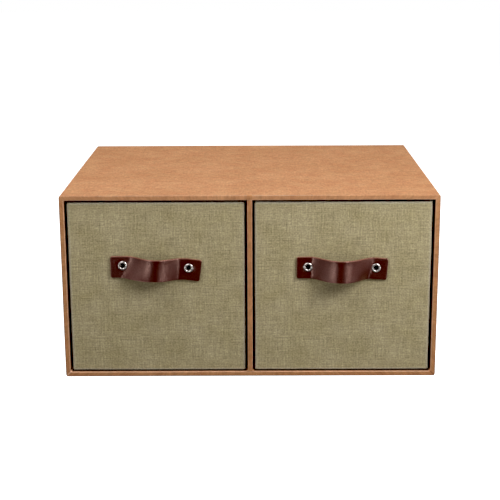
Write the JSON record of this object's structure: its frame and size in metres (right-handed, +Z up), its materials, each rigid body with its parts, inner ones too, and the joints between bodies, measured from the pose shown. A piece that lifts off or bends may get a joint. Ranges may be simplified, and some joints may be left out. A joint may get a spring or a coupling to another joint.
{
  "type": "desktop drawer box",
  "caption": "Wrapped-board desktop box with cloth-covered drawers side by side in a paper-covered case, each pulled out by a leather strap held on hollow eyelets.",
  "frame": {"origin": "centre of the underside of the case's base", "axes": "+Z up, the drawers face -Y and slide out that way, +X to the right seen from the front"},
  "size_m": [0.34, 0.2906, 0.17],
  "materials": {
    "greyboard": "matte",
    "cover_paper": "satin",
    "backing_paper": "satin",
    "bay_lining": "matte",
    "book_cloth": "matte",
    "drawer_lining": "matte",
    "strap_leather": "satin",
    "eyelet_nickel": "polished"
  },
  "bodies": {
    "case": {"case_top_board": "greyboard", "case_bottom_board": "greyboard", "case_left_board": "greyboard", "case_right_board": "greyboard", "case_back_board": "greyboard", "case_divider_board": "greyboard", "case_wrap": "cover_paper", "divider_wrap": "cover_paper", "case_back_sheet": "backing_paper", "case_base_sheet": "backing_paper", "left_bay_lining": "bay_lining", "right_bay_lining": "bay_lining"},
    "left_drawer": {"left_drawer_front_board": "greyboard", "left_drawer_back_board": "greyboard", "left_drawer_left_side_board": "greyboard", "left_drawer_right_side_board": "greyboard", "left_drawer_bottom_board": "greyboard", "left_drawer_cloth_wrap": "book_cloth", "left_drawer_wall_lining": "drawer_lining", "left_drawer_floor_liner": "drawer_lining", "left_drawer_base_sheet": "drawer_lining", "left_drawer_handle_strap": "strap_leather", "left_drawer_handle_eyelets": "eyelet_nickel", "left_drawer_eyelet_washers": "eyelet_nickel"},
    "right_drawer": {"right_drawer_front_board": "greyboard", "right_drawer_back_board": "greyboard", "right_drawer_left_side_board": "greyboard", "right_drawer_right_side_board": "greyboard", "right_drawer_bottom_board": "greyboard", "right_drawer_cloth_wrap": "book_cloth", "right_drawer_wall_lining": "drawer_lining", "right_drawer_floor_liner": "drawer_lining", "right_drawer_base_sheet": "drawer_lining", "right_drawer_handle_strap": "strap_leather", "right_drawer_handle_eyelets": "eyelet_nickel", "right_drawer_eyelet_washers": "eyelet_nickel"}
  },
  "joints": [
    {"name": "left_drawer_slide", "type": "slide", "parent": "case", "child": "left_drawer", "axis": [0, -1, 0], "range_m": [0, 0.272]},
    {"name": "right_drawer_slide", "type": "slide", "parent": "case", "child": "right_drawer", "axis": [0, -1, 0], "range_m": [0, 0.272]}
  ]
}
